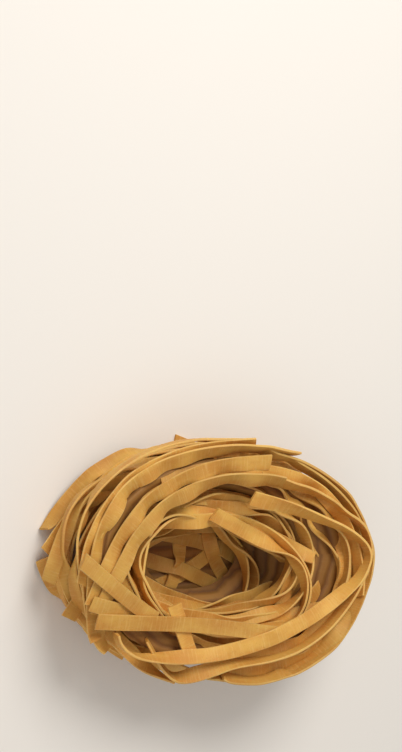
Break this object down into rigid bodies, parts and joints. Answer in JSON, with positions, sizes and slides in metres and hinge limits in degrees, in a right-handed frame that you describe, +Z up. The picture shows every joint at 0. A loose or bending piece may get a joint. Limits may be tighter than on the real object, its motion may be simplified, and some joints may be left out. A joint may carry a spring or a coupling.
{
  "type": "dry pasta nest",
  "caption": "Nest of dried flat egg noodles, coiled into an uneven oval ring with a hollow in the middle and loose cut ends, resting flat",
  "frame": {"origin": "Middle of the nest's outline at the level it rests on", "axes": "+X along the nest's length, +Y across it, +Z up out of the hollow"},
  "size_m": [0.1456, 0.1031, 0.0492],
  "materials": {
    "pasta": "matte"
  },
  "bodies": {
    "root": {"pasta_nest": "pasta"}
  },
  "joints": []
}
